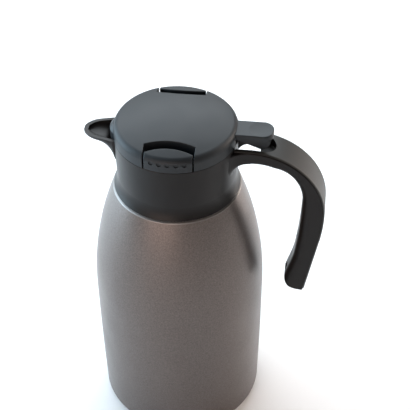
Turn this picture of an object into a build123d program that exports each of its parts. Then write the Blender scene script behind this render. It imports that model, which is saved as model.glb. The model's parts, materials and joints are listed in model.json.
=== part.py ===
from build123d import *
import os
from math import asin, atan2, cos, degrees, exp, pi, radians, sin, sqrt, tan

# Thermal carafe with a lift-out lid, side release buttons and a thumb lever that opens the pouring valve.
# Millimetres, +Z up. The origin is on the vessel's axis, on the surface that it stands on.
# The spout points to -X, the handle and the lever to +X, and the two buttons to -Y and +Y.
# A rise is measured up from the lid's seam, and a drop is measured down from it.

# Clearances
weld_gap = 0.02
fit_gap = 0.2
running_gap = 0.3

# How far a cutting tool reaches past the face that it opens
cut_past = 1.0

# Vessel body
body_height = 230.0
body_radius = 69.0
belly_height = 127.0
shoulder_radius = 49.8
foot_radius = 67.4
foot_corner = 8.0
shoulder_round = 1.0
pad_proud = 0.5
foot_rim = 1.4
base_recess = 3.0
steel_wall = 0.6

# Neck, under the collar
neck_radius = 38.0
neck_root_rise = 6.0
neck_height = 28.0
neck_vacuum_gap = 1.9

# Inner bottle
vacuum_gap = 5.4
bottle_floor = 12.0
bottle_floor_corner = 22.0
bottle_shoulder_drop = 8.0
bottle_flare_drop = 7.0
getter_radius = 8.0
getter_thickness = 2.0
getter_offset = 24.0

# Base
pad_thickness = 3.2
seal_radius = 6.0
seal_thickness = 0.8
seal_pocket_gap = 1.0

# Collar
collar_height = 46.6
collar_waist_radius = 46.2
collar_waist_height = 12.0
collar_rim_radius = 46.9
collar_wall = 3.4
collar_seat_gap = 0.35
collar_foot_round = 0.5
seam_round = 0.4
groove_depth = 1.4
groove_low_drop = 8.3
groove_height = 5.0
groove_half_width = 12.0

# Retaining ring and lip gasket
ring_skirt_wall = 2.7
ring_skirt_height = 18.0
ring_flange = 2.0
gasket_thickness = 1.2

# Spout
spout_wall = 2.2
spout_reach = 24.3
spout_half_width = 15.2
spout_taper = 0.26
spout_nose = 10.3
spout_tip_depth = 5.8
spout_keel_depth = 21.2
spout_keel_run = 4.05
spout_root = 8.0
spout_stations = 9
spout_last_ratio = 0.985

# Handle, a hook that is open at the bottom
handle_half_width = 14.0
handle_tip_half_width = 11.0
handle_taper_drop = 26.0
handle_length = 146.2
handle_crown_reach = 9.3
handle_crown_drop = 2.3
handle_crown_radius = 59.5
handle_back_radius = 165.0
handle_back_turn = 9.7
grip_crown_reach = 14.6
grip_crown_drop = 13.7
grip_crown_radius = 36.1
grip_back_radius = 440.0
grip_straight_end = 9.4
handle_outer_fillet = 3.0
handle_tip_fillet = 6.5
handle_edge_round = 2.0
handle_root_blend = 4.5
handle_wall = 2.8
cover_thickness = 1.2
cover_seam_gap = 0.25
cavity_end_margin = 6.0

# Lever well in the root of the handle
well_side_gap = 1.0
well_end_gap = 2.3
well_floor_reach = 17.0
well_floor = 2.6

# Handle screws
screw_rises = (16.2, 54.2)
screw_head_radius = 3.0
screw_head_height = 1.8
screw_shank_radius = 1.3
screw_boss_wall = 1.6
screw_head_sink = 1.5
screw_length = 11.0
shell_boss_length = 8.5
cover_boss_wall = 1.7

# Lid
lid_rise = 18.2
lid_edge_rise = 10.9
lid_edge_fillet = 5.5
lid_wall = 2.2
lid_base_thickness = 1.8
lid_spigot_wall = 2.0
lid_spigot_drop = 9.8
lid_spigot_gap = 0.7
lid_screw_x = 30.0
lid_screw_y = 20.0
lid_boss_wall = 1.8
lid_screw_radius = 1.2
lid_screw_clearance = 0.1
lid_screw_head = 2.6
lid_screw_head_height = 1.6
lid_screw_length = 10.0

# Spout shutter on the lid
shutter_reach = 3.1
shutter_radius = 16.0
shutter_drop = 3.3
shutter_rise = 7.2
shutter_bevel = 3.0
shutter_side_gap = 0.6

# Button recesses and buttons
recess_half_width = 18.8
recess_depth_radius = 28.9
recess_arc_radius = 64.0
recess_wall = 1.6
recess_edge_round = 0.4
button_side_gap = 1.0
button_inner_radius = 35.1
button_arc_radius = 50.0
button_drop = 0.2
button_wall = 2.0
button_edge_round = 0.8
button_travel = 3.5
button_foot_gap = 0.1
slide_half_width = 7.3
slide_thickness = 2.2
slide_reach = 25.5
slide_tab = 1.5
slide_tab_half_width = 5.0
slide_tab_height = 8.3
latch_half_width = 7.0
latch_thickness = 2.9
latch_drop = 8.0
dot_count = 5
dot_radius = 1.8
dot_pitch = 6.2
dot_depth = 0.7
dot_rise = 7.0
button_spring_radius = 2.5
button_spring_wire = 0.35
button_spring_turns = 5
spring_post_y = 14.0
spring_post_thickness = 2.0
spring_post_half_width = 4.0
spring_post_height = 9.0
spring_axis_rise = 7.4
spring_peg_radius = 1.6
spring_peg_length = 2.5
spring_end_gap = 0.1
guide_rib_wall = 1.6
guide_rib_start = 16.0
guide_rib_end = 26.0

# Thumb lever
lever_pivot_x = 24.0
lever_pivot_rise = 7.2
lever_pin_radius = 1.5
lever_pin_clearance = 0.05
lever_rise = 9.4
lever_half_width = 9.5
lever_thickness = 4.2
lever_edge_round = 1.1
lever_overhang = 26.6
lever_tip_radius = 8.0
lever_keel_half_width = 8.0
lever_keel_start = 1.6
lever_keel_start_rise = 3.2
lever_keel_deep = 18.1
lever_keel_deep_drop = 3.3
lever_keel_end = 24.6
lever_keel_belly = 1.4
lever_hub_radius = 3.6
lever_hub_half_width = 9.3
lever_window_gap = 0.6
prong_rise = 8.2
prong_gap_half = 2.4
prong_width = 3.0
prong_crown_radius = 2.0
prong_thickness = 2.6
thumb_dish_radius = 60.0
thumb_dish_depth = 0.7
ear_gap = 0.5
ear_thickness = 3.0
ear_half_length = 3.5

# Stopper
stopper_gap = 1.7
stopper_wall = 2.0
stopper_drop = 37.8
stopper_floor_thickness = 2.0
stopper_flange_gap = 1.5
stopper_flange = 1.8
port_radius = 11.0
seat_wall = 1.6
seat_height = 0.8
pour_window_half_width = 14.0
pour_window_low_drop = 14.3
pour_window_high_drop = 3.8
vent_half_width = 4.0
vent_height = 4.0
gasket_groove_rise = 3.0
gasket_groove_height = 4.0
gasket_groove_depth = 1.0
gasket_band = 0.3
gasket_lip = 1.2

# Valve
stem_radius = 1.82
stem_bore_clearance = 0.08
sleeve_radius = 4.2
sleeve_low_drop = 14.8
sleeve_rise = 3.6
spring_seat_radius = 7.6
spring_seat_thickness = 2.0
valve_disc_radius = 13.5
valve_disc_thickness = 2.0
valve_seal_inner = 9.5
valve_seal_outer = 13.2
valve_seal_thickness = 1.5
stem_cap_radius = 5.0
stem_cap_thickness = 1.5
stem_cap_pin_radius = 1.0
stem_cap_pin_length = 4.0
valve_spring_radius = 5.6
valve_spring_wire = 0.45
valve_spring_turns = 5

# Heights and radii that follow from the values above
foot_top = pad_proud + foot_corner
base_opening_radius = foot_radius - foot_corner - foot_rim
neck_root_height = body_height + neck_root_rise
lip_height = body_height + neck_height
ring_floor = lip_height + gasket_thickness
collar_top = body_height + collar_height
lid_seam = collar_top + fit_gap
lid_crown = lid_seam + lid_rise
lid_floor_top = lid_seam + lid_base_thickness
waist_height = body_height + collar_waist_height
collar_bore_radius = collar_rim_radius - collar_wall
skirt_bore_radius = neck_radius + running_gap
collar_seat_bore = skirt_bore_radius + ring_skirt_wall + running_gap
bottle_bore_radius = neck_radius - neck_vacuum_gap - 2 * steel_wall
mouth_radius = bottle_bore_radius + running_gap
lid_radius = collar_rim_radius
lid_base_radius = lid_radius - lid_wall - fit_gap
lid_spigot_outer = collar_bore_radius - lid_spigot_gap
stopper_radius = bottle_bore_radius - stopper_gap
stopper_flange_radius = lid_spigot_outer - lid_spigot_wall - stopper_flange_gap
stopper_floor = lid_seam - stopper_drop
handle_crown_x = collar_rim_radius + handle_crown_reach
handle_crown_height = collar_top - handle_crown_drop
grip_crown_x = collar_rim_radius + grip_crown_reach
grip_crown_height = collar_top - grip_crown_drop
handle_tip_height = collar_top - handle_length
handle_far_x = handle_crown_x + handle_crown_radius
lever_pivot_height = lid_seam + lever_pivot_rise
lever_top = lid_seam + lever_rise
lever_reach = lid_radius + lever_overhang
prong_top = lid_seam + prong_rise
spring_axis_height = lid_seam + spring_axis_rise
well_half_width = lever_half_width + well_side_gap
well_end = lever_reach + well_end_gap
latch_nose = collar_bore_radius - running_gap
latch_inner = latch_nose - latch_thickness
button_floor_cut = latch_inner - button_travel - running_gap
slide_low = lid_floor_top + running_gap
sleeve_low = lid_seam - sleeve_low_drop


# Shapes that several pieces share

def cylinder(radius, low, high, x=0.0, y=0.0):
    """A round bar along Z from one height to another."""
    bar = Cylinder(radius, high - low, align=(Align.CENTER, Align.CENTER, Align.MIN))
    return Pos(x, y, low) * bar


def cross_cylinder(radius, x, z, y_low, y_high):
    """A round bar along Y."""
    bar = Cylinder(radius, y_high - y_low, align=(Align.CENTER, Align.CENTER, Align.MIN))
    return Pos(x, y_low, z) * Rot(-90, 0, 0) * bar


def block(x_low, x_high, y_low, y_high, z_low, z_high):
    """A box given by its limits."""
    box = Box(x_high - x_low, y_high - y_low, z_high - z_low, align=(Align.MIN, Align.MIN, Align.MIN))
    return Pos(x_low, y_low, z_low) * box


def tube(inner, outer, low, high):
    """A plain ring about the vessel's axis."""
    return cylinder(outer, low, high) - cylinder(inner, low, high)


def turned(points):
    """A ring or a disc turned about the vessel's axis from (radius, height) corners."""
    return revolve(Plane.XZ * make_face(Polyline(*points, close=True)), Axis.Z)


def side_solid(face, half_width):
    """A side view, drawn as (x, height), made as wide as wanted about the middle plane."""
    return extrude(Plane.XZ * face, amount=half_width, both=True)


def arc_point(centre, radius, angle):
    """The point at an angle in degrees on a circle."""
    return (centre[0] + radius * cos(radians(angle)), centre[1] + radius * sin(radians(angle)))


def arc_edge(centre, radius, start, end):
    """A circular arc through its own middle."""
    middle = (start + end) / 2
    return ThreePointArc(
        arc_point(centre, radius, start),
        arc_point(centre, radius, middle),
        arc_point(centre, radius, end),
    )


def coil(radius, wire, turns, length):
    """An unbroken helical wire from the origin along +Z, made of half-turn arcs."""
    rise = length / (2 * turns)
    arcs = []
    for half in range(2 * turns):
        side = 1 if half % 2 == 0 else -1
        low = half * rise
        start = (side * radius, 0, low)
        middle = (0, side * radius, low + rise / 2)
        end = (-side * radius, 0, low + rise)
        arcs.append(ThreePointArc(start, middle, end))
    path = Wire(arcs)
    section = Plane(origin=path @ 0, z_dir=path % 0) * RegularPolygon(wire, 6)
    return sweep(section, path=path)


# Vessel

def belly_arc_radius():
    """The shoulder is one arc that starts upright at the belly and ends at the collar's seam."""
    rise = body_height - belly_height
    inset = body_radius - shoulder_radius
    return (rise ** 2 + inset ** 2) / (2 * inset)


def lower_arc_radius():
    """Below the belly the wall is one arc down to the foot's corner."""
    drop = belly_height - foot_top
    inset = body_radius - foot_radius
    return (drop ** 2 + inset ** 2) / (2 * inset)


def wall_edges(inset, low, high):
    """The side of the body from a low to a high height, moved inward by an inset."""
    lower = lower_arc_radius()
    upper = belly_arc_radius()
    low_angle = degrees(asin((low - belly_height) / (lower - inset)))
    high_angle = degrees(asin((high - belly_height) / (upper - inset)))
    return [
        arc_edge((body_radius - lower, belly_height), lower - inset, low_angle, 0),
        arc_edge((body_radius - upper, belly_height), upper - inset, 0, high_angle),
    ]


def mitre(corner, low_facing, high_facing, inset):
    """The corner between two walls that face at these angles, moved in by an inset."""
    reach = inset / cos(radians(high_facing - low_facing) / 2)
    return arc_point(corner, -reach, (low_facing + high_facing) / 2)


def vessel_form(inset):
    """The steel body's outer form, or with the sheet's thickness the space inside it."""
    side_facing = degrees(asin((body_height - belly_height) / belly_arc_radius()))
    slope_facing = 90 - degrees(atan2(neck_root_rise, shoulder_radius - neck_radius))
    shoulder = mitre((shoulder_radius, body_height), side_facing, slope_facing, inset)
    neck_root = mitre((neck_radius, neck_root_height), slope_facing, 0, inset)
    walls = wall_edges(inset, foot_top, shoulder[1])
    corner = foot_corner - inset
    floor = pad_proud + inset
    foot_end = walls[0] @ 0
    corner_start = (foot_end.X - corner, floor)
    corner_middle = (foot_end.X - corner * (1 - sqrt(0.5)), floor + corner * (1 - sqrt(0.5)))
    outline = [
        Line((0, floor), corner_start),
        ThreePointArc(corner_start, corner_middle, foot_end),
        walls[0],
        walls[1],
        Polyline(walls[1] @ 1, neck_root, (neck_radius - inset, lip_height), (0, lip_height), (0, floor)),
    ]
    face = make_face(outline)
    corner = face.vertices().sort_by_distance(walls[1] @ 1)[0]
    return revolve(Plane.XZ * fillet(corner, shoulder_round - inset), Axis.Z)


def outer_shell():
    """The painted steel body, from the rolled foot to the lip."""
    shell = vessel_form(0) - vessel_form(steel_wall)
    return shell - cylinder(base_opening_radius, 0, foot_top)


def bottle_form(inset):
    """The inner bottle's outer form, or with an inset the space inside it."""
    wall_inset = steel_wall + vacuum_gap + inset
    corner = bottle_floor_corner - inset
    floor = bottle_floor + inset
    shoulder = body_height - bottle_shoulder_drop - inset / 2
    walls = wall_edges(wall_inset, floor + corner, shoulder)
    side_start = walls[0] @ 0
    corner_start = (side_start.X - corner, floor)
    corner_middle = (side_start.X - corner * (1 - sqrt(0.5)), floor + corner * (1 - sqrt(0.5)))
    neck = neck_radius - steel_wall - neck_vacuum_gap - inset
    lip = neck_radius - steel_wall - weld_gap - inset
    neck_root = body_height - inset
    flare_start = lip_height - bottle_flare_drop
    flare_end = flare_start + 2 * neck_vacuum_gap
    outline = [
        Line((0, floor), corner_start),
        ThreePointArc(corner_start, corner_middle, side_start),
        walls[0],
        walls[1],
        Polyline(
            walls[1] @ 1, (neck, neck_root), (neck, flare_start), (lip, flare_end),
            (lip, lip_height), (0, lip_height), (0, floor),
        ),
    ]
    return revolve(Plane.XZ * make_face(outline), Axis.Z)


def inner_bottle():
    """The steel bottle that holds the drink, welded to the shell at the lip."""
    return bottle_form(0) - bottle_form(steel_wall)


def base_plate():
    """The pressed plate that closes the vacuum space at the bottom."""
    rim = base_opening_radius - weld_gap
    top = pad_proud + base_recess + steel_wall
    plate = turned([
        (0, top - steel_wall),
        (rim - steel_wall, top - steel_wall),
        (rim - steel_wall, pad_proud),
        (rim, pad_proud),
        (rim, top),
        (0, top),
    ])
    return plate


def vacuum_seal():
    """The small cap brazed over the pump-out hole."""
    top = pad_proud + base_recess
    return cylinder(seal_radius, top - seal_thickness, top)


def base_pad():
    """The non-slip pad under the vessel, with room for the seal."""
    rim = base_opening_radius - steel_wall - fit_gap
    pad = cylinder(rim, 0, pad_thickness)
    pocket = pad_thickness - seal_thickness - fit_gap
    return pad - cylinder(seal_radius + seal_pocket_gap, pocket, pad_thickness)


def getter():
    """The gas-absorbing pellet under the inner bottle's floor."""
    top = bottle_floor - weld_gap
    return cylinder(getter_radius, top - getter_thickness, top, x=getter_offset)


# Collar with spout and handle

def collar_ring():
    """The round part of the collar, with its seat on the shoulder and its stepped bore."""
    slope = (neck_root_height - body_height) / (shoulder_radius - neck_radius)
    bottom = body_height + collar_seat_gap
    cove = collar_waist_height - collar_seat_gap
    step = shoulder_radius - collar_waist_radius
    cove_radius = (cove ** 2 + step ** 2) / (2 * step)
    cove_angle = degrees(atan2(cove, cove_radius - step))
    cove_centre = (collar_waist_radius + cove_radius, waist_height)
    cone_top = bottom + (shoulder_radius - collar_seat_bore) * slope
    outline = [
        arc_edge(cove_centre, cove_radius, 180 + cove_angle, 180),
        Polyline(
            (collar_waist_radius, waist_height),
            (collar_rim_radius, collar_top),
            (collar_bore_radius, collar_top),
            (collar_bore_radius, ring_floor),
            (collar_seat_bore, ring_floor),
            (collar_seat_bore, cone_top),
            (shoulder_radius, bottom),
        ),
    ]
    face = make_face(outline)
    face = fillet(face.vertices().sort_by_distance((shoulder_radius, bottom))[0], collar_foot_round)
    face = fillet(face.vertices().sort_by_distance((collar_rim_radius, collar_top))[0], seam_round)
    return revolve(Plane.XZ * face, Axis.Z)


def half_ellipse(x, half_width, depth, top):
    """One cross-section of the spout, across the pouring direction."""
    curve = EllipticalCenterArc((0, 0), half_width, depth, start_angle=180, arc_size=180)
    outline = [curve, Line((half_width, 0), (-half_width, 0))]
    return Plane(origin=(-x, 0, top), x_dir=(0, 1, 0), z_dir=(1, 0, 0)) * make_face(outline)


def spout_section(run):
    """Half-width and depth of the spout at a distance out from its root."""
    nose = max(0.0, (run - spout_reach + spout_nose) / spout_nose)
    rounding = sqrt(1 - nose ** 2)
    half_width = (spout_half_width - spout_taper * run) * rounding
    depth = spout_tip_depth + spout_keel_depth * exp(-run / spout_keel_run)
    return half_width, depth * (3 + rounding) / 4


def spout_form(wall):
    """The beak of the spout, or with a wall its channel, run back through the ring."""
    root = collar_rim_radius - running_gap * 3
    sections = []
    for index in range(spout_stations):
        share = spout_last_ratio * (1 - cos(pi * index / (spout_stations - 1))) / 2
        run = share * spout_reach
        half_width, depth = spout_section(run)
        if half_width > 1.4 * wall:
            sections.append(half_ellipse(root + run - wall, half_width - wall, depth - wall, collar_top))
    return loft(sections) + extrude(sections[0], amount=spout_root)


def hook_curve(crown_x, crown_height, crown_radius, back_radius, turn, offset):
    """One side of the hook: a crown arc, a long back arc and a straight end, moved out by an offset."""
    level = crown_height - crown_radius
    crown = arc_edge((crown_x, level), crown_radius + offset, 90, 0)
    back = arc_edge((crown_x + crown_radius - back_radius, level), back_radius + offset, 0, -turn)
    end = back @ 1
    slant = (end.Y - handle_tip_height) * tan(radians(turn))
    return [crown, back, Line(end, (end.X - slant, handle_tip_height))]


def outer_curve(inset):
    """The handle's outer side view, moved in by an inset."""
    return hook_curve(
        handle_crown_x, handle_crown_height, handle_crown_radius,
        handle_back_radius, handle_back_turn, -inset,
    )


def grip_curve(inset):
    """The handle's finger side, moved into the handle by an inset. Its long arc stops short of the tip."""
    drop = grip_crown_height - grip_crown_radius - handle_tip_height - grip_straight_end
    turn = degrees(asin(drop / grip_back_radius))
    return hook_curve(grip_crown_x, grip_crown_height, grip_crown_radius, grip_back_radius, turn, inset)


def handle_side_view():
    """The closed side view of the whole handle, with its rounded tip."""
    outer = outer_curve(0)
    grip = grip_curve(0)
    root_x = collar_bore_radius + fit_gap
    blend_x = collar_rim_radius + handle_root_blend
    blend_centre = (blend_x, grip_crown_height - handle_root_blend)
    blend_low = (collar_rim_radius, grip_crown_height - handle_root_blend)
    root = [
        Line(grip[0] @ 0, (blend_x, grip_crown_height)),
        arc_edge(blend_centre, handle_root_blend, 90, 180),
        Polyline(blend_low, (root_x, blend_low[1]), (root_x, handle_crown_height), outer[0] @ 0),
    ]
    tip = [Line(outer[2] @ 1, grip[2] @ 1)]
    face = make_face(root + outer + tip + grip)
    corners = face.vertices().sort_by(Axis.Y)[:2].sort_by(Axis.X)
    face = fillet(corners[0], handle_tip_fillet)
    corners = face.vertices().sort_by(Axis.Y)[:2].sort_by(Axis.X)
    return fillet(corners[1], handle_outer_fillet)


def width_taper(inset):
    """A front view that narrows the handle towards its tip."""
    wide = handle_half_width - inset
    narrow = handle_tip_half_width - inset
    top = lid_crown
    taper = collar_top - handle_taper_drop
    low = handle_tip_height - cut_past
    outline = Polyline(
        (-wide, top), (-wide, taper), (-narrow, low), (narrow, low), (wide, taper), (wide, top), close=True,
    )
    return extrude(Plane.YZ * make_face(outline), amount=2 * handle_far_x)


def handle_form():
    """The whole outer form of the handle before it is split into shell and cover, as two mirrored halves."""
    solid = side_solid(handle_side_view(), handle_half_width + cut_past) & width_taper(0)
    level = handle_crown_height - handle_crown_radius
    rim = solid.edges().sort_by_distance((handle_far_x, handle_half_width, level))[0]
    low = handle_tip_height - cut_past
    half = fillet(rim, handle_edge_round) & block(0, 2 * handle_far_x, 0, 2 * handle_half_width, low, lid_crown)
    return half + mirror(half, Plane.XZ)


def lever_well():
    """The slot in the handle's root that the lever's keel sinks into."""
    low = grip_crown_height - grip_crown_radius
    floor = grip_crown_height + well_floor
    end_centre = well_end - well_half_width
    through_end = collar_rim_radius + well_floor_reach
    through = block(0, through_end, -well_half_width, well_half_width, low, lid_crown)
    slot = block(0, end_centre, -well_half_width, well_half_width, floor, lid_crown)
    return through + slot + cylinder(well_half_width, floor, lid_crown, x=end_centre)


def cover_band(thickness):
    """The outer slice of the handle that belongs to its cover, from the collar to the tip."""
    outer = outer_curve(-cut_past)
    inner = outer_curve(thickness)
    crown_low = inner[0] @ 0
    crown_high = outer[0] @ 0
    start = Polyline(crown_low, (0, crown_low.Y), (0, crown_high.Y), crown_high)
    end = Line(outer[2] @ 1, inner[2] @ 1)
    return side_solid(make_face([start] + outer + [end] + inner), handle_half_width + cut_past)


def handle_cavity():
    """The hollow inside the handle's lower shell, open towards the cover."""
    outer = outer_curve(cover_thickness)
    grip = grip_curve(handle_wall)
    start = Line(grip[0] @ 0, outer[0] @ 0)
    end = Line(outer[2] @ 1, grip[2] @ 1)
    hollow = side_solid(make_face([start] + outer + [end] + grip), handle_half_width)
    limit = block(
        well_end + handle_wall, 2 * handle_far_x, -handle_half_width, handle_half_width,
        handle_tip_height + cavity_end_margin, handle_crown_height,
    )
    return hollow & width_taper(handle_wall) & limit


def screw_frames():
    """The places of the screws on the finger side, facing through the handle to the cover."""
    centre = (grip_crown_x + grip_crown_radius - grip_back_radius, grip_crown_height - grip_crown_radius)
    frames = []
    for rise in screw_rises:
        height = handle_tip_height + rise
        lean = (height - centre[1]) / grip_back_radius
        run = sqrt(1 - lean ** 2)
        origin = (centre[0] + grip_back_radius * run, 0, height)
        frames.append(Plane(origin=origin, x_dir=(0, 1, 0), z_dir=(run, 0, lean)))
    return frames


def bar_along(frame, radius, low, high):
    """A round bar along a screw's axis, between two distances from the finger side."""
    bar = Cylinder(radius, high - low, align=(Align.CENTER, Align.CENTER, Align.MIN))
    return frame * Pos(0, 0, low) * bar


def collar():
    """The moulding that caps the vessel: a ring with the spout."""
    body = collar_ring() + spout_form(0)
    body -= cylinder(collar_bore_radius, ring_floor, collar_top + cut_past)
    body -= cylinder(collar_seat_bore, body_height, ring_floor)
    channel_floor = ring_floor + ring_flange
    body -= spout_form(spout_wall) & cylinder(2 * collar_rim_radius, channel_floor, collar_top + cut_past)
    low = lid_seam - groove_low_drop
    high = low + groove_height
    groove = tube(collar_bore_radius - cut_past, collar_bore_radius + groove_depth, low, high)
    sides = block(-groove_half_width, groove_half_width, -lid_radius, lid_radius, low, high)
    return body - (groove & sides)


def collar_outside(gap):
    """The collar's upper outer form with a gap around it, where the handle's root is welded on."""
    return turned([
        (0, waist_height),
        (collar_waist_radius + gap, waist_height),
        (collar_rim_radius + gap, collar_top),
        (0, collar_top),
    ])


def handle_shell():
    """The handle's lower shell: root cheeks, lever well and the hook, hollow towards its cover."""
    cavity = handle_cavity()
    shell = handle_form() - lever_well() - cover_band(cover_thickness) - cavity
    head_floor = screw_head_sink + screw_head_height
    head_hole = screw_head_radius + fit_gap
    for frame in screw_frames():
        shell += bar_along(frame, head_hole + screw_boss_wall, 0, shell_boss_length) & cavity
        shell -= bar_along(frame, head_hole, -cut_past, head_floor)
        shell -= bar_along(frame, screw_shank_radius + fit_gap, 0, shell_boss_length + cut_past)
    return shell - collar_outside(weld_gap)


def handle_cover():
    """The lighter strip on the top and outer side of the handle, forked round the lever's well."""
    cover = handle_form() & cover_band(cover_thickness - cover_seam_gap)
    cover = cover - lever_well() - collar_outside(fit_gap)
    cavity = handle_cavity()
    boss_radius = screw_shank_radius + cover_boss_wall
    for frame in screw_frames():
        boss = bar_along(frame, boss_radius, shell_boss_length + fit_gap, handle_far_x)
        joint = boss & handle_form() & cover_band(2 * cover_thickness)
        cover += (boss & cavity) + joint
        end = screw_head_sink + screw_head_height + screw_length + fit_gap
        cover -= bar_along(frame, screw_shank_radius, 0, end)
    return cover


# Mouth of the vessel

def retaining_ring():
    """The ring that clamps the collar to the neck and covers the lip."""
    skirt_outer = skirt_bore_radius + ring_skirt_wall
    skirt_low = ring_floor - ring_skirt_height
    flange_outer = collar_bore_radius - fit_gap
    return turned([
        (mouth_radius, ring_floor),
        (skirt_bore_radius, ring_floor),
        (skirt_bore_radius, skirt_low),
        (skirt_outer, skirt_low),
        (skirt_outer, ring_floor),
        (flange_outer, ring_floor),
        (flange_outer, ring_floor + ring_flange),
        (mouth_radius, ring_floor + ring_flange),
    ])


def lip_gasket():
    """The ring between the lip and the retaining ring."""
    return tube(mouth_radius, neck_radius, lip_height + weld_gap, ring_floor - weld_gap)


# Lid

def dome(inset, low):
    """The lid's domed form, moved in by an inset."""
    rise = lid_rise - lid_edge_rise
    sphere = (lid_radius ** 2 + rise ** 2) / (2 * rise) - inset
    centre = lid_crown - inset - sphere
    radius = lid_radius - inset
    edge_height = centre + sqrt(sphere ** 2 - radius ** 2)
    angle = degrees(atan2(edge_height - centre, radius))
    top = arc_edge((0, centre), sphere, angle, 90)
    sides = Polyline((0, centre + sphere), (0, low), (radius, low), (radius, edge_height))
    face = make_face([sides, top])
    corner = face.vertices().sort_by(Axis.X)[-2:].sort_by(Axis.Y)[-1]
    face = fillet(corner, lid_edge_fillet - inset / 2)
    return revolve(Plane.XZ * face, Axis.Z)


def lid_outside():
    """The lid's outer form with both button recesses cut and its outer edges rounded."""
    form = dome(0, lid_seam) - recess(-1) - recess(1)
    skin = dome(lid_wall, lid_seam - cut_past).solid()
    rims = form.edges().filter_by(
        lambda edge: abs((edge @ 0.5).X) < recess_half_width + weld_gap
        and (edge @ 0.5).Z > lid_seam + seam_round
        and not skin.is_inside(edge @ 0.5)
    )
    return fillet(rims, recess_edge_round)


def arc_plan(half_width, inner_radius, arc_radius, low, high):
    """A plan at the front of the lid: two straight sides and an inner end that bulges to the middle."""
    centre = -inner_radius - arc_radius
    corner = centre + sqrt(arc_radius ** 2 - half_width ** 2)
    far = -lid_radius - button_travel
    outline = [
        ThreePointArc((-half_width, corner), (0, -inner_radius), (half_width, corner)),
        Polyline((half_width, corner), (half_width, far), (-half_width, far), (-half_width, corner)),
    ]
    return Pos(0, 0, low) * extrude(make_face(outline), amount=high - low)


def recess(side, extra=0.0, low=lid_seam - cut_past):
    """The recess for one button. Side is -1 for the front and 1 for the rear."""
    inner = recess_depth_radius - extra
    form = arc_plan(recess_half_width + extra, inner, recess_arc_radius + extra, low, lid_crown + cut_past)
    if side > 0:
        form = form.rotate(Axis.Z, 180)
    return form


def lid_bosses(radius, low, high):
    """The four screw positions of the lid."""
    bars = []
    for x in (-lid_screw_x, lid_screw_x):
        for y in (-lid_screw_y, lid_screw_y):
            bars.append(cylinder(radius, low, high, x=x, y=y))
    return bars


def spout_shutter():
    """The tongue on the lid that reaches down into the spout's channel."""
    centre = shutter_radius - lid_radius - shutter_reach
    low = lid_seam - shutter_drop
    tongue = cylinder(shutter_radius, low, lid_seam + shutter_rise, x=centre)
    half_width = spout_half_width - spout_wall - shutter_side_gap
    tongue &= block(-lid_radius - shutter_reach, 0, -half_width, half_width, low, lid_crown)
    tongue = chamfer(tongue.edges().group_by(Axis.Z)[-1], shutter_bevel, shutter_bevel * 0.8)
    return tongue - cylinder(lid_radius - lid_wall, lid_seam - 2 * shutter_drop, lid_crown)


def lid_cover():
    """The domed cover with its button recesses, lever window and spout shutter."""
    outer = lid_outside()
    hollow = dome(lid_wall, lid_seam - cut_past)
    for side in (-1, 1):
        hollow -= recess(side, extra=recess_wall, low=lid_floor_top + weld_gap)
    cover = outer - hollow
    slot_half = slide_half_width + running_gap
    slot_top = slide_low + slide_thickness + running_gap
    for side in (-1, 1):
        near = side * (recess_depth_radius - 2 * recess_wall)
        far = side * button_inner_radius
        cover -= block(-slot_half, slot_half, min(near, far), max(near, far), lid_seam, slot_top)
    screw_end = lid_seam - stopper_flange + lid_screw_length + fit_gap
    for bar in lid_bosses(lid_screw_radius + lid_boss_wall, lid_floor_top + weld_gap, lid_crown):
        cover += bar & outer
    for bar in lid_bosses(lid_screw_radius, lid_seam, screw_end):
        cover -= bar
    cover += spout_shutter()
    window = lever_half_width + lever_window_gap
    window_start = lid_radius - 5 * lid_wall
    return cover - block(
        window_start, lever_reach, -window, window, lid_seam - cut_past, lever_top + lever_window_gap,
    )


def lid_base():
    """The floor of the lid: spigot, pivot ears, button guides, spring posts and the valve's sleeve."""
    base = cylinder(lid_base_radius, lid_seam, lid_floor_top)
    spigot_low = lid_seam - lid_spigot_drop
    base += tube(lid_spigot_outer - lid_spigot_wall, lid_spigot_outer, spigot_low, lid_floor_top)
    cut = recess_half_width + fit_gap
    for side in (-1, 1):
        near = side * button_floor_cut
        far = side * lid_radius
        base -= block(-cut, cut, min(near, far), max(near, far), spigot_low, lid_floor_top)
    opening = spout_half_width
    base -= block(-lid_radius, -lid_base_radius / 2, -opening, opening, spigot_low, lid_seam)
    base += cylinder(sleeve_radius, sleeve_low, lid_seam + sleeve_rise)
    base += cylinder(spring_seat_radius, sleeve_low, sleeve_low + spring_seat_thickness)
    for side in (-1, 1):
        base += pivot_ear(side) + spring_post(side)
        for rib in (-1, 1):
            inner = slide_half_width + running_gap
            x_low = min(rib * inner, rib * (inner + guide_rib_wall))
            y_low = min(side * guide_rib_start, side * guide_rib_end)
            base += block(
                x_low, x_low + guide_rib_wall, y_low, y_low + guide_rib_end - guide_rib_start,
                lid_seam, slide_low + slide_thickness + running_gap,
            )
    base -= cylinder(stem_radius + stem_bore_clearance, sleeve_low - cut_past, lid_crown)
    hole = lid_screw_radius + lid_screw_clearance
    for bar in lid_bosses(hole, lid_seam - cut_past, lid_floor_top + cut_past):
        base -= bar
    return base


def pivot_ear(side):
    """One upright ear that carries the lever's pin."""
    near = side * (lever_hub_half_width + ear_gap)
    far = side * (lever_hub_half_width + ear_gap + ear_thickness)
    low, high = min(near, far), max(near, far)
    x, z = lever_pivot_x, lever_pivot_height
    ear = block(x - ear_half_length, x + ear_half_length, low, high, lid_seam, z)
    ear += cross_cylinder(ear_half_length, x, z, low, high)
    return ear - cross_cylinder(lever_pin_radius + weld_gap, x, z, low - cut_past, high + cut_past)


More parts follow.
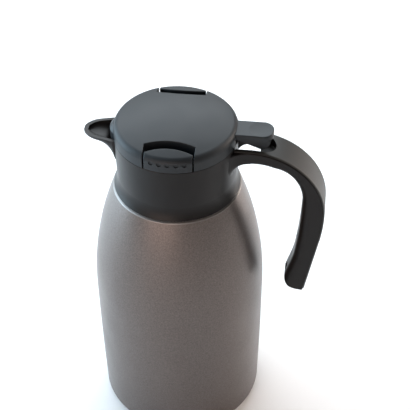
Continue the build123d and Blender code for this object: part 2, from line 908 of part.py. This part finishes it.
def spring_post(side):
    """One upright post with a peg that centres a button's spring."""
    near = side * (spring_post_y - spring_post_thickness)
    far = side * spring_post_y
    post = block(
        -spring_post_half_width, spring_post_half_width, min(near, far), max(near, far),
        lid_seam, lid_floor_top + spring_post_height,
    )
    end = side * (spring_post_y + spring_peg_length)
    return post + cross_cylinder(spring_peg_radius, 0, spring_axis_height, min(far, end), max(far, end))


def lid_screws():
    """The four screws that clamp stopper, lid base and cover together."""
    head_top = lid_seam - stopper_flange
    screws = []
    shanks = lid_bosses(lid_screw_radius, head_top, head_top + lid_screw_length)
    heads = lid_bosses(lid_screw_head, head_top - lid_screw_head_height, head_top)
    for shank, head in zip(shanks, heads):
        screws.append(shank + head)
    return Compound(children=[screw.solid() for screw in screws])


def button_skin(half_width, inner_radius, arc_radius, wall):
    """The button's outer form, or with a wall the space inside it."""
    plan = arc_plan(half_width - wall, inner_radius + wall, arc_radius - wall, lid_seam - wall, lid_crown)
    return plan & (Pos(0, 0, -button_drop) * dome(wall, lid_seam - 2 * button_wall))


def button_dots():
    """The row of shallow round dimples on the button's face."""
    dots = []
    for index in range(dot_count):
        angle = -90 + degrees((index - (dot_count - 1) / 2) * dot_pitch / lid_radius)
        dot = Pos(lid_radius, 0, lid_seam + dot_rise) * Rot(0, 90, 0) * Cylinder(dot_radius, 2 * dot_depth)
        dots.append(Rot(0, 0, angle) * dot)
    return dots


def button(side):
    """A release button with its slide plate, spring tab and latch leg."""
    half_width = recess_half_width - button_side_gap
    cap = button_skin(half_width, button_inner_radius, button_arc_radius, 0)
    rims = cap.edges().filter_by(
        lambda edge: (edge @ 0.5).Z > lid_seam + button_edge_round
        and (abs((edge @ 0.5).X) > half_width - weld_gap or (edge @ 0.5).Y > -button_inner_radius - weld_gap)
    )
    cap = fillet(rims, button_edge_round)
    cap -= button_skin(half_width, button_inner_radius, button_arc_radius, button_wall)
    cap &= block(-half_width, half_width, -lid_radius, 0, lid_seam + button_foot_gap, lid_crown)
    cap -= block(-half_width, half_width, -latch_inner, 0, lid_seam, slide_low)
    for dot in button_dots():
        cap -= dot
    slide_top = slide_low + slide_thickness
    tab_end = -slide_reach + slide_tab
    cap += block(-slide_half_width, slide_half_width, -latch_nose, tab_end, slide_low, slide_top)
    tab_top = slide_low + slide_tab_height
    cap += block(-slide_tab_half_width, slide_tab_half_width, -slide_reach, tab_end, slide_low, tab_top)
    leg = block(
        -latch_half_width, latch_half_width, -latch_nose, -latch_inner, lid_seam - latch_drop, slide_top,
    )
    cap += leg & cylinder(latch_nose, lid_seam - latch_drop, slide_top)
    if side > 0:
        cap = cap.rotate(Axis.Z, 180)
    return cap


def button_spring(side):
    """The small coil spring behind one button."""
    start = spring_post_y + button_spring_wire + spring_end_gap
    end = slide_reach - slide_tab - button_spring_wire - spring_end_gap
    wire = coil(button_spring_radius, button_spring_wire, button_spring_turns, end - start)
    placed = Pos(0, -start, spring_axis_height) * Rot(90, 0, 0) * wire
    if side > 0:
        placed = placed.rotate(Axis.Z, 180)
    return placed


# Lever

def lever_pin():
    """The steel pin that the lever turns on."""
    half = lever_hub_half_width + ear_gap + ear_thickness
    return cross_cylinder(lever_pin_radius, lever_pivot_x, lever_pivot_height, -half, half)


def lever_keel():
    """The deepening underside of the lever's pad."""
    under = lever_top - lever_thickness + weld_gap
    start = (lid_radius + lever_keel_start, lid_seam + lever_keel_start_rise)
    deep = (lid_radius + lever_keel_deep, lid_seam - lever_keel_deep_drop)
    end = (lid_radius + lever_keel_end, under)
    belly = ((deep[0] + end[0]) / 2 + lever_keel_belly, (deep[1] + under) / 2 - lever_keel_belly)
    outline = [
        Polyline(end, (start[0], under), start, deep),
        ThreePointArc(deep, belly, end),
    ]
    return side_solid(make_face(outline), lever_keel_half_width)


def lever_pad():
    """The flat pad with rounded end corners and a shallow dish for the thumb."""
    under = lever_top - lever_thickness
    inner_end = lid_radius - 4 * lid_wall
    pad = block(inner_end, lever_reach, -lever_half_width, lever_half_width, under, lever_top)
    corners = pad.edges().filter_by(Axis.Z).sort_by(Axis.X)[-2:]
    pad = fillet(corners, lever_tip_radius)
    rim = pad.edges().group_by(Axis.Z)[-1].sort_by(Axis.X)[1:]
    pad = fillet(rim, lever_edge_round)
    neck = lever_hub_half_width
    pad += block(lever_pivot_x, inner_end + cut_past, -neck, neck, under, lever_top)
    dish_centre = lever_reach - lever_half_width
    dish = Pos(dish_centre, 0, lever_top + thumb_dish_radius - thumb_dish_depth) * Sphere(thumb_dish_radius)
    return pad - dish


def thumb_lever():
    """The lever: pad and keel outside the lid, hub on the pin, forked arm at the valve's stem."""
    lever = lever_pad() + lever_keel()
    lever += cross_cylinder(
        lever_hub_radius, lever_pivot_x, lever_pivot_height, -lever_hub_half_width, lever_hub_half_width,
    )
    crown_height = prong_top - prong_crown_radius
    prong_low = crown_height - prong_thickness / 2
    for side in (-1, 1):
        near = side * prong_gap_half
        far = side * (prong_gap_half + prong_width)
        low, high = min(near, far), max(near, far)
        lever += block(0, lever_pivot_x, low, high, prong_low, prong_low + prong_thickness)
        lever += cross_cylinder(prong_crown_radius, 0, crown_height, low, high)
    return lever - cross_cylinder(
        lever_pin_radius + lever_pin_clearance, lever_pivot_x, lever_pivot_height,
        -lever_half_width, lever_half_width,
    )


# Stopper and valve

def stopper_body():
    """The stopper that fills the neck, with its port below and its window towards the spout."""
    inner = stopper_radius - stopper_wall
    floor_top = stopper_floor + stopper_floor_thickness
    body = tube(inner, stopper_radius, stopper_floor, lid_seam - weld_gap)
    flange_low = lid_seam - stopper_flange
    body += tube(inner, stopper_flange_radius, flange_low, lid_seam - weld_gap)
    body += cylinder(stopper_radius - stopper_wall / 2, stopper_floor, floor_top)
    body += cylinder(port_radius + seat_wall, stopper_floor, floor_top + seat_height)
    body -= cylinder(port_radius, stopper_floor - cut_past, floor_top + seat_height + cut_past)
    groove_low = stopper_floor + gasket_groove_rise
    groove_high = groove_low + gasket_groove_height
    body -= tube(stopper_radius - gasket_groove_depth, stopper_radius + cut_past, groove_low, groove_high)
    window_low = lid_seam - pour_window_low_drop
    window_high = lid_seam - pour_window_high_drop
    far = stopper_radius + cut_past
    window = pour_window_half_width
    vent_low = window_high - vent_height
    body -= block(-far, 0, -window, window, window_low, window_high)
    body -= block(0, far, -vent_half_width, vent_half_width, vent_low, window_high)
    hole = lid_screw_radius + lid_screw_clearance
    for bar in lid_bosses(hole, flange_low - cut_past, lid_seam + cut_past):
        body -= bar
    notch = latch_half_width + running_gap
    for side in (-1, 1):
        near = side * button_floor_cut
        far = side * lid_radius
        body -= block(-notch, notch, min(near, far), max(near, far), flange_low - cut_past, lid_seam)
    return body


def stopper_gasket():
    """The lipped ring that seals the stopper in the neck."""
    root = stopper_radius - gasket_groove_depth + weld_gap
    band = stopper_radius + gasket_band
    reach = bottle_bore_radius - running_gap
    low = stopper_floor + gasket_groove_rise + weld_gap
    high = stopper_floor + gasket_groove_rise + gasket_groove_height - weld_gap
    return turned([
        (root, low),
        (band, low),
        (reach, low + gasket_lip / 2),
        (band, low + gasket_lip),
        (band, high - gasket_lip),
        (reach, high - gasket_lip / 2),
        (band, high),
        (root, high),
    ])


def valve_heights():
    """The heights of the seal's underside, the disc's underside and the disc's top, at rest."""
    seat = stopper_floor + stopper_floor_thickness + seat_height
    seal = seat + running_gap
    disc = seal + valve_seal_thickness
    return seal, disc, disc + valve_disc_thickness


def valve_stem():
    """The stem and its disc, which the fork lifts off the seat."""
    seal, disc, disc_top = valve_heights()
    top = prong_top + running_gap
    stem = cylinder(stem_radius, disc, top)
    stem += cylinder(valve_disc_radius, disc, disc_top)
    stem += cylinder(valve_seal_inner - weld_gap, seal - seat_height, disc_top)
    pocket = top - stem_cap_pin_length - running_gap
    return stem - cylinder(stem_cap_pin_radius + weld_gap, pocket, top + cut_past)


def valve_seal():
    """The soft washer under the disc."""
    seal, disc, disc_top = valve_heights()
    return tube(valve_seal_inner, valve_seal_outer, seal, disc - weld_gap)


def stem_cap():
    """The cap on top of the stem that the fork pushes up."""
    low = prong_top + running_gap + weld_gap
    cap = cylinder(stem_cap_radius, low, low + stem_cap_thickness)
    return cap + cylinder(stem_cap_pin_radius, low - stem_cap_pin_length, low + stem_cap_thickness)


def valve_spring():
    """The spring that closes the valve and returns the lever."""
    seal, disc, disc_top = valve_heights()
    low = disc_top + valve_spring_wire + spring_end_gap
    high = sleeve_low - valve_spring_wire - spring_end_gap
    return Pos(0, 0, low) * coil(valve_spring_radius, valve_spring_wire, valve_spring_turns, high - low)


def handle_screws():
    """The two screws from the finger side that hold the handle's cover."""
    screws = []
    seat = screw_head_sink + screw_head_height
    for frame in screw_frames():
        head = bar_along(frame, screw_head_radius, screw_head_sink, seat)
        shank = bar_along(frame, screw_shank_radius, screw_head_sink, seat + screw_length)
        screws.append((head + shank).solid())
    return Compound(children=screws)


parts = {
    "outer_shell": outer_shell(),
    "inner_bottle": inner_bottle(),
    "base_plate": base_plate(),
    "vacuum_seal": vacuum_seal(),
    "base_pad": base_pad(),
    "getter": getter(),
    "collar": collar(),
    "handle_shell": handle_shell(),
    "handle_cover": handle_cover(),
    "handle_screws": handle_screws(),
    "retaining_ring": retaining_ring(),
    "lip_gasket": lip_gasket(),
    "lid_cover": lid_cover(),
    "lid_base": lid_base(),
    "lid_screws": lid_screws(),
    "lever_pin": lever_pin(),
    "stopper_body": stopper_body(),
    "stopper_gasket": stopper_gasket(),
    "thumb_lever": thumb_lever(),
    "valve_stem": valve_stem(),
    "valve_seal": valve_seal(),
    "stem_cap": stem_cap(),
    "valve_spring": valve_spring(),
    "button_front": button(-1),
    "button_rear": button(1),
    "button_spring_front": button_spring(-1),
    "button_spring_rear": button_spring(1),
}

os.makedirs("parts", exist_ok=True)
for name, shape in parts.items():
    export_step(shape, f"parts/{name}.step")
    print(name, "solids", len(shape.solids()), "volume", round(shape.volume, 1))
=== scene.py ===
import json
from math import asin, cos, pi, sin, sqrt

import bmesh
import bpy
import numpy as np
from mathutils import Matrix, Vector


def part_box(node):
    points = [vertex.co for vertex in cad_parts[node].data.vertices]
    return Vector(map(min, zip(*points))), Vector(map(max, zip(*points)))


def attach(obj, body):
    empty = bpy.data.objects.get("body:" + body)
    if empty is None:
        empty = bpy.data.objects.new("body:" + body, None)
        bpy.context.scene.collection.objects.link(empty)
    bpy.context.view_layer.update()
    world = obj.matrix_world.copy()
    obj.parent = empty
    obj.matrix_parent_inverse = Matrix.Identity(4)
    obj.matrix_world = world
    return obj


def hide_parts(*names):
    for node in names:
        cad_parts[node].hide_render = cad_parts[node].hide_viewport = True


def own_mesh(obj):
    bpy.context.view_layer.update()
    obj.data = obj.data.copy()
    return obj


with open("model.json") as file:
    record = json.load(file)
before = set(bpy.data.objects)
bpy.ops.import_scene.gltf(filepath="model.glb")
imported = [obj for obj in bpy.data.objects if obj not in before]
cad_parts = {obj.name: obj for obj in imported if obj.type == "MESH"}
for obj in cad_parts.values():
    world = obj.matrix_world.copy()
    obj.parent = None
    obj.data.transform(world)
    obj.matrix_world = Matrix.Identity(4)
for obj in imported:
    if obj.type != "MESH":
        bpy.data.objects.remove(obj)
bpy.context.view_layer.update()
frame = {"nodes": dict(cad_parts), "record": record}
nodes = frame["nodes"]


def corners(box):
    return [[round(v, 6) for v in corner] for corner in box]


# Materials

# A thin lighter band at the body's rolled top edge under the collar: the bare edge's colour with a painted
# highlight.
RIM_HIGHLIGHT_START, RIM_HIGHLIGHT_FULL = 0.2294, 0.2297
RIM_EDGE_AND_HIGHLIGHT_COLOUR = (0.26, 0.245, 0.235)
FLAKE_SIZE, FLAKE_HEIGHT = 0.0011, 0.000006
PEEL_SIZE, PEEL_HEIGHT = 0.0022, 0.000014
GRAIN_SIZE, GRAIN_HEIGHT = 0.0004, 0.00001
WAVE_SIZE, WAVE_HEIGHT = 0.006, 0.000015
BLOOM_SIZE = 0.004
RUBBER_GRAIN_SIZE, RUBBER_GRAIN_HEIGHT = 0.0005, 0.000012
LINE_HEIGHT = 0.000004
EVEN = (1, 1, 1)


class Shader:
    """A small builder for node materials on a Principled shader, with object coordinates in metres."""

    def __init__(self, name):
        self.material = bpy.data.materials.new(name)
        self.material.use_nodes = True
        self.tree = self.material.node_tree
        self.shader = self.tree.nodes["Principled BSDF"]
        self.place = self.tree.nodes.new("ShaderNodeTexCoord").outputs["Object"]

    def node(self, kind, **settings):
        made = self.tree.nodes.new(kind)
        for key, value in settings.items():
            setattr(made, key, value)
        return made

    def link(self, source, target):
        self.tree.links.new(source, target)

    def fixed(self, **values):
        """Sets sockets that are the same all over the surface."""
        for key, value in values.items():
            self.shader.inputs[key.replace("_", " ")].default_value = value

    def noise(self, size, detail=2.0, stretch=EVEN, rough=0.5):
        """Noise whose features are about this size in metres, as a value near 0.5."""
        mapping = self.node("ShaderNodeMapping")
        mapping.inputs["Scale"].default_value = stretch
        self.link(self.place, mapping.inputs["Vector"])
        noise = self.node("ShaderNodeTexNoise")
        noise.inputs["Scale"].default_value = 1 / size
        noise.inputs["Detail"].default_value = detail
        noise.inputs["Roughness"].default_value = rough
        self.link(mapping.outputs["Vector"], noise.inputs["Vector"])
        return noise.outputs["Fac"]

    def spread(self, value, low, high, start=0.3, end=0.7):
        """Maps a value between start and end onto the range from low to high."""
        ramp = self.node("ShaderNodeMapRange")
        for key, number in (("From Min", start), ("From Max", end), ("To Min", low), ("To Max", high)):
            ramp.inputs[key].default_value = number
        self.link(value, ramp.inputs["Value"])
        return ramp.outputs["Result"]

    def height(self, low, high):
        """0 below one height of the object and 1 above another, in metres."""
        split = self.node("ShaderNodeSeparateXYZ")
        self.link(self.place, split.inputs["Vector"])
        return self.spread(split.outputs["Z"], 0.0, 1.0, low, high)

    def colours(self, value, dark, light, start=0.3, end=0.7, mask=None, masked=None):
        """Blends two colours by a value, and a third by a mask, and gives the result to the shader."""
        ramp = self.node("ShaderNodeValToRGB")
        for stop, position, colour in zip(ramp.color_ramp.elements, (start, end), (dark, light)):
            stop.position = position
            stop.color = (*colour, 1)
        self.link(value, ramp.inputs["Fac"])
        result = ramp.outputs["Color"]
        if mask is not None:
            mix = self.node("ShaderNodeMixRGB")
            self.link(mask, mix.inputs["Fac"])
            self.link(result, mix.inputs["Color1"])
            mix.inputs["Color2"].default_value = (*masked, 1)
            result = mix.outputs["Color"]
        self.link(result, self.shader.inputs["Base Color"])

    def roughness(self, value):
        self.link(value, self.shader.inputs["Roughness"])

    def bump(self, layers):
        """Bumps from (value, height in metres) layers, chained."""
        normal = None
        for value, height in layers:
            bump = self.node("ShaderNodeBump")
            bump.inputs["Strength"].default_value = 1.0
            bump.inputs["Distance"].default_value = height
            self.link(value, bump.inputs["Height"])
            if normal is not None:
                self.link(normal, bump.inputs["Normal"])
            normal = bump.outputs["Normal"]
        self.link(normal, self.shader.inputs["Normal"])


def body_paint():
    """Satin metallic lacquer with fine flake, a faint orange-peel, uneven gloss and a lighter band at the
    rolled rim: its bare edge with a painted highlight.
    """
    s = Shader("body_paint")
    flake = s.noise(FLAKE_SIZE, detail=4.0, rough=0.75)
    slow = s.noise(0.03, detail=3.0)
    # the lighter band at the rolled rim is partly its bare edge and partly a painted highlight
    rim_highlight = s.height(RIM_HIGHLIGHT_START, RIM_HIGHLIGHT_FULL)
    dark, light = (0.104, 0.086, 0.0785), (0.16, 0.135, 0.124)
    s.colours(flake, dark, light, start=0.36, end=0.64, mask=rim_highlight, masked=RIM_EDGE_AND_HIGHLIGHT_COLOUR)
    s.roughness(s.spread(slow, 0.36, 0.43))
    s.bump([(flake, FLAKE_HEIGHT), (s.noise(PEEL_SIZE), PEEL_HEIGHT)])
    s.fixed(Metallic=0.75, Coat_Weight=0.12, Coat_Roughness=0.3)
    return s.material


def moulded(name, dark, light, rough, specular=0.5):
    """Moulded plastic with a fine eroded grain and slightly uneven gloss."""
    s = Shader(name)
    fine = s.noise(GRAIN_SIZE, detail=3.0, rough=0.6)
    slow = s.noise(0.018, detail=2.0)
    s.colours(slow, dark, light)
    s.roughness(s.spread(slow, *rough))
    s.bump([(fine, GRAIN_HEIGHT), (s.noise(WAVE_SIZE), WAVE_HEIGHT)])
    s.fixed(Specular_IOR_Level=specular)
    return s.material


def rubber(name, dark, light):
    """Matt rubber or silicone with a soft bloom."""
    s = Shader(name)
    bloom = s.noise(BLOOM_SIZE, detail=4.0)
    s.colours(bloom, dark, light)
    s.roughness(s.spread(bloom, 0.62, 0.8))
    s.bump([(s.noise(RUBBER_GRAIN_SIZE), RUBBER_GRAIN_HEIGHT)])
    s.fixed(Specular_IOR_Level=0.35)
    return s.material


def steel(name, light, stretch, size, rough):
    """Bare metal with fine lines or grain, slightly warm where it is light."""
    s = Shader(name)
    lines = s.noise(size, detail=4.0, stretch=stretch, rough=0.7)
    s.colours(lines, (light * 0.86,) * 3, (light, light * 0.995, light * 0.98))
    s.roughness(s.spread(lines, *rough))
    s.bump([(lines, LINE_HEIGHT)])
    s.fixed(Metallic=1.0)
    return s.material


DARK_PLASTIC = {"dark": (0.0052, 0.0039, 0.0036), "light": (0.0066, 0.0052, 0.0048)}
LID_PLASTIC = {"dark": (0.011, 0.0145, 0.0175), "light": (0.014, 0.018, 0.0215)}
STRIP_PLASTIC = {"dark": (0.018, 0.0185, 0.0175), "light": (0.022, 0.0225, 0.021)}
INNER_PLASTIC = {"dark": (0.05, 0.05, 0.05), "light": (0.06, 0.06, 0.06)}

finishes = {
    "body_paint": body_paint(),
    "steel": steel("steel", light=0.62, stretch=(1, 1, 60), size=0.012, rough=(0.26, 0.38)),
    "dark_plastic": moulded("dark_plastic", **DARK_PLASTIC, rough=(0.36, 0.42), specular=0.23),
    "lid_plastic": moulded("lid_plastic", **LID_PLASTIC, rough=(0.46, 0.52), specular=0.32),
    "strip_plastic": moulded("strip_plastic", **STRIP_PLASTIC, rough=(0.46, 0.52), specular=0.4),
    "inner_plastic": moulded("inner_plastic", **INNER_PLASTIC, rough=(0.5, 0.58)),
    "pad_rubber": rubber("pad_rubber", (0.02, 0.02, 0.02), (0.032, 0.031, 0.03)),
    "seal_rubber": rubber("seal_rubber", (0.62, 0.61, 0.57), (0.72, 0.7, 0.66)),
    "screw_steel": steel("screw_steel", light=0.55, stretch=EVEN, size=0.0006, rough=(0.3, 0.45)),
    "spring_steel": steel("spring_steel", light=0.6, stretch=EVEN, size=0.0004, rough=(0.25, 0.35)),
    "getter_metal": steel("getter_metal", light=0.22, stretch=EVEN, size=0.0007, rough=(0.55, 0.75)),
}


def dress(piece, slot):
    """Gives a piece one of the finishes in place of what it had."""
    piece.data.materials.clear()
    piece.data.materials.append(finishes[slot])


for entry in frame["record"]["subparts"]:
    dress(nodes[entry["node"]], entry["material_slot"])


def evaluated_copy(piece):
    """A mesh of its own with a piece's modifiers applied."""
    graph = bpy.context.evaluated_depsgraph_get()
    source = piece.evaluated_get(graph)
    return bpy.data.meshes.new_from_object(source, preserve_all_data_layers=False, depsgraph=graph)


def new_object(name, mesh):
    made = bpy.data.objects.new(name, mesh)
    bpy.context.scene.collection.objects.link(made)
    return made


# The handle's moulded shell, with the soft section, round end and flared root that the solid lacks, in mm

MM = 0.001
HALF_WIDTH, TIP_HALF_WIDTH = 14.0, 11.0
TAPER_TOP, TIP_HEIGHT = 250.6, 130.4
COLLAR_RADIUS = 46.55
ROOT_LOW, ROOT_HIGH = 262.9, 273.0
SLOT_HALF_WIDTH = 10.5
FLARE = 13.0
FLARE_LIFT, FLARE_SINK, WALL_SINK = 0.25, 0.8, 0.3
CHEEK_STEPS, TURN_STEPS, RISE_STEPS, CURVE_STEPS = 3, 10, 10, 12
GRIP_CENTRE = (61.5, 226.8)
GRIP_CROWN_RADIUS, GRIP_BACK_RADIUS = 36.1, 440.0
EDGE_ROUND, EDGE_ROUND_FROM, EDGE_ROUND_TO = 6.5, 66.0, 90.0
EDGE_TOLERANCE = 0.4
END_ROUND = 15.0
END_LOW, END_HIGH = 136.0, 170.0
SWELL, SWELL_DEPTH = 2.8, 16.0
DROOP, DROOP_FROM, DROOP_TO = 1.6, 6.0, 20.0
VOXEL = 0.45
TINY = 1e-6


def ease(value, low, high):
    """0 at low, 1 at high, with a smooth start and end."""
    share = np.clip((value - low) / (high - low), 0.0, 1.0)
    return share * share * (3 - 2 * share)


def wall_point(y, z, sink=WALL_SINK):
    """A point in the collar's wall, on the handle's side, this far under its surface."""
    return (sqrt((COLLAR_RADIUS - sink) ** 2 - y * y), y, z)


def flare_stations():
    """Places (y, z) round the root's edge, each with its outward way (out, up)."""
    cheek = HALF_WIDTH - SLOT_HALF_WIDTH
    places = []
    for i in range(CHEEK_STEPS + 1):
        places.append((SLOT_HALF_WIDTH + cheek * i / CHEEK_STEPS, ROOT_LOW, 0.0, -1.0))
    for i in range(1, TURN_STEPS):
        turn = i * pi / (2 * TURN_STEPS)
        places.append((HALF_WIDTH, ROOT_LOW, sin(turn), -cos(turn)))
    for i in range(RISE_STEPS + 1):
        places.append((HALF_WIDTH, ROOT_LOW + (ROOT_HIGH - ROOT_LOW) * i / RISE_STEPS, 1.0, 0.0))
    return places


def flare_sections(side):
    """Closed sections of the blend between a cheek of the root and the collar, from under it to its top."""
    sections = []
    for y, z, out, up in flare_stations():
        root = wall_point(y, z, 0.0)[0]
        start = Vector((root + FLARE, y - FLARE_LIFT * out, z - FLARE_LIFT * up))
        corner = Vector((root, y, z))
        angle = asin(y / COLLAR_RADIUS) + FLARE * out / COLLAR_RADIUS
        end = Vector(wall_point(COLLAR_RADIUS * sin(angle), z + FLARE * up))
        section = [Vector((root - FLARE_SINK, y - FLARE_SINK * out, z - FLARE_SINK * up))]
        for i in range(CURVE_STEPS + 1):
            t = i / CURVE_STEPS
            section.append(start * (1 - t) ** 2 + corner * 2 * t * (1 - t) + end * t * t)
        sections.append([Vector((p.x, side * p.y, p.z)) * MM for p in section])
    return sections


def add_tube(bm, sections):
    """Adds a closed tube through sections of equal length, with flat ends."""
    rings = [[bm.verts.new(p) for p in section] for section in sections]
    for low, high in zip(rings, rings[1:]):
        for i in range(len(low)):
            j = (i + 1) % len(low)
            bm.faces.new((low[i], low[j], high[j], high[i]))
    bm.faces.new(rings[0])
    bm.faces.new(list(reversed(rings[-1])))


def rounding(depth, edge, radius, allowed=True):
    """How far points in the corner of two faces move in from each, given how deep they lie under both."""
    a, b = radius - depth, radius - edge
    length = np.hypot(a, b)
    corner = (a > 0) & (b > 0) & (length > radius) & allowed
    pull = 1 - np.where(corner, radius / np.maximum(length, TINY), 1.0)
    return np.where(corner, a * pull, 0.0), np.where(corner, b * pull, 0.0)


def finger_side(x, z):
    """How far points lie from the handle's finger side, and the way straight off it, as (depth, nx, nz)."""
    above = z > GRIP_CENTRE[1]
    crown = above & (x > GRIP_CENTRE[0])
    back_x = GRIP_CENTRE[0] + GRIP_CROWN_RADIUS - GRIP_BACK_RADIUS
    radius = np.where(above, GRIP_CROWN_RADIUS, GRIP_BACK_RADIUS)
    dx, dz = x - np.where(above, GRIP_CENTRE[0], back_x), z - GRIP_CENTRE[1]
    dx = np.where(above & ~crown, 0.0, dx)
    reach = np.maximum(np.hypot(dx, dz), TINY)
    return reach - radius, dx / reach, dz / reach


def soften_handle(points):
    """Rounds the finger side and the end of the handle, in millimetres, as the moulding is."""
    x, y, z = points.T.copy()
    depth, nx, nz = finger_side(x, z)
    taper = np.clip((TAPER_TOP - z) / (TAPER_TOP - TIP_HEIGHT), 0.0, 1.0)
    width = HALF_WIDTH - (HALF_WIDTH - TIP_HALF_WIDTH) * taper
    edge = width - np.abs(y)
    radius = EDGE_ROUND * ease(x, EDGE_ROUND_FROM, EDGE_ROUND_TO) + TINY
    # the flares stand past the handle's width and keep their shape
    inward, sideways = rounding(depth, edge, radius, allowed=edge > -EDGE_TOLERANCE)
    x += nx * inward
    z += nz * inward
    y -= np.sign(y) * sideways
    depth = depth + inward
    inward, upward = rounding(depth, z - TIP_HEIGHT, END_ROUND)
    x += nx * inward
    z += upward
    # the end swells a little to the finger side and hangs lower on its outer side
    near = 1 - ease(z, END_LOW, END_HIGH)
    x -= SWELL * near * (1 - ease(depth, 0.0, SWELL_DEPTH))
    z -= DROOP * near * ease(depth, DROOP_FROM, DROOP_TO)
    return np.stack((x, y, z), axis=1)


def handle_blank():
    """The CAD shell and the two flares as one even mesh."""
    bm = bmesh.new()
    bm.from_mesh(nodes["handle_shell"].data)
    for side in (-1, 1):
        add_tube(bm, flare_sections(side))
    bmesh.ops.remove_doubles(bm, verts=bm.verts, dist=1e-7)
    bmesh.ops.recalc_face_normals(bm, faces=bm.faces)
    mesh = bpy.data.meshes.new("handle_blank")
    bm.to_mesh(mesh)
    bm.free()
    blank = new_object("handle_blank", mesh)
    remesh = blank.modifiers.new("remesh", "REMESH")
    remesh.mode = "VOXEL"
    remesh.voxel_size = VOXEL * MM
    made = evaluated_copy(blank)
    bpy.data.objects.remove(blank)
    return made


def handle_body():
    """The visible handle shell, which stands for the CAD one."""
    mesh = handle_blank()
    flat = np.empty(len(mesh.vertices) * 3)
    mesh.vertices.foreach_get("co", flat)
    points = soften_handle(flat.reshape(-1, 3) / MM)
    mesh.vertices.foreach_set("co", (points * MM).ravel())
    piece = new_object("handle_body", mesh)
    smooth = piece.modifiers.new("smooth", "SMOOTH")
    smooth.factor = 0.5
    smooth.iterations = 4
    mesh.polygons.foreach_set("use_smooth", [True] * len(mesh.polygons))
    dress(piece, "dark_plastic")
    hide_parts("handle_shell")
    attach(piece, "vessel")


handle_body()


# The springs, as copies of their solids hung on the lid

def sprung_coil(spring):
    """A copy of a spring's solid in spring steel, on the lid, in place of the CAD one."""
    letter = spring["mode"][-1]
    way = "xyz".index(letter)
    low, high = corners(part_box(spring["node"]))
    anchor = [(a + b) / 2 for a, b in zip(low, high)]
    anchor[way] = spring[f"fixed_end_{letter}_m"]
    coil = new_object(spring["node"] + "_coil", evaluated_copy(nodes[spring["node"]]))
    dress(coil, "spring_steel")
    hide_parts(spring["node"])
    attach(coil, "lid")
    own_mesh(coil)


for moving in frame["record"]["behaviour"]["joints"]:
    for entry in moving.get("deforming_nodes", []):
        sprung_coil(entry)


# Floor, light and camera

FLOOR_SIZE = 14.0
GLOW_START, GLOW_FULL, GLOW = 0.7, 2.2, 0.62
SKY_COLOUR = (1.0, 0.92, 0.87, 1)
SKY_FADE = {"From Min": 0.06, "From Max": 0.3, "To Min": 0.65, "To Max": 0.13}
# name, place, aim, size, power in watts and tint of each light
SOFTBOXES = (
    ("back_box", (-0.25, 1.0, 1.2), (-0.05, 0.05, 0.1), (1.8, 1.2), 34, (0.88, 0.95, 1.0)),
    ("left_box", (-1.1, 0.15, 0.5), (0, 0, 0.15), (1.0, 1.0), 22, (0.62, 0.84, 1.0)),
    ("right_strip", (0.9, 0.45, 0.5), (0, 0, 0.2), (0.25, 1.0), 8, (1.0, 0.88, 0.8)),
    ("front_box", (-0.5, -1.5, 0.6), (0, 0, 0.2), (1.3, 1.1), 10, (1.0, 0.77, 0.68)),
)
PHOTO_WIDTH, FOCAL_PIXELS, SENSOR_WIDTH = 410, 1150.5, 36.0
CAMERA_PLACE = (0.1048, -0.6695, 0.8154)
CAMERA_RIGHT = (0.9929, 0.1190, -0.0050)
CAMERA_UP = (-0.0760, 0.6657, 0.7423)
CAMERA_FORWARD = (-0.0917, 0.7366, -0.6701)


def floor():
    """A pale floor that glows a little far from the object, so that low views end in a pale distance."""
    bpy.ops.mesh.primitive_plane_add(size=FLOOR_SIZE, location=(0, 0, 0))
    plane = bpy.context.object
    plane.name = "floor"
    s = Shader("floor")
    s.colours(s.noise(0.4), (0.86, 0.86, 0.86), (0.9, 0.9, 0.9))
    s.roughness(s.spread(s.noise(0.2), 0.75, 0.85))
    reach = s.node("ShaderNodeVectorMath", operation="LENGTH")
    s.link(s.place, reach.inputs[0])
    glow = s.spread(reach.outputs["Value"], 0.0, GLOW, GLOW_START, GLOW_FULL)
    s.link(glow, s.shader.inputs["Emission Strength"])
    s.fixed(Emission_Color=(1, 1, 1, 1))
    plane.data.materials.append(s.material)


def softbox(name, place, aim, size, power, tint):
    lamp = bpy.data.lights.new(name, "AREA")
    lamp.shape = "RECTANGLE"
    lamp.size, lamp.size_y = size
    lamp.energy = power
    lamp.color = tint
    box = new_object(name, lamp)
    box.location = place
    box.rotation_euler = (Vector(aim) - Vector(place)).to_track_quat("-Z", "Y").to_euler()


def sky():
    """A world that is pale at the horizon and dim above it."""
    world = bpy.data.worlds.new("studio")
    world.use_nodes = True
    tree = world.node_tree
    background = tree.nodes["Background"]
    background.inputs["Color"].default_value = SKY_COLOUR
    direction = tree.nodes.new("ShaderNodeTexCoord")
    split = tree.nodes.new("ShaderNodeSeparateXYZ")
    fade = tree.nodes.new("ShaderNodeMapRange")
    tree.links.new(direction.outputs["Generated"], split.inputs["Vector"])
    tree.links.new(split.outputs["Z"], fade.inputs["Value"])
    tree.links.new(fade.outputs["Result"], background.inputs["Strength"])
    for name, value in SKY_FADE.items():
        fade.inputs[name].default_value = value
    bpy.context.scene.world = world


def studio():
    """Light from behind and above, cool from the left and warm from the right and, dimly, the front."""
    sky()
    for light in SOFTBOXES:
        softbox(*light)


def camera():
    """The photograph's view, fitted to the rims and seams that it shows."""
    data = bpy.data.cameras.new("photo_camera")
    data.sensor_width = SENSOR_WIDTH
    data.lens = SENSOR_WIDTH * FOCAL_PIXELS / PHOTO_WIDTH
    data.clip_start = 0.01
    axes = Matrix((Vector(CAMERA_RIGHT), Vector(CAMERA_UP), -Vector(CAMERA_FORWARD)))
    turn = axes.transposed().to_quaternion().to_matrix().to_4x4()
    view = new_object("photo_camera", data)
    view.matrix_world = Matrix.Translation(CAMERA_PLACE) @ turn
    bpy.context.scene.camera = view


floor()
studio()
camera()
bpy.context.scene.view_settings.view_transform = "Standard"
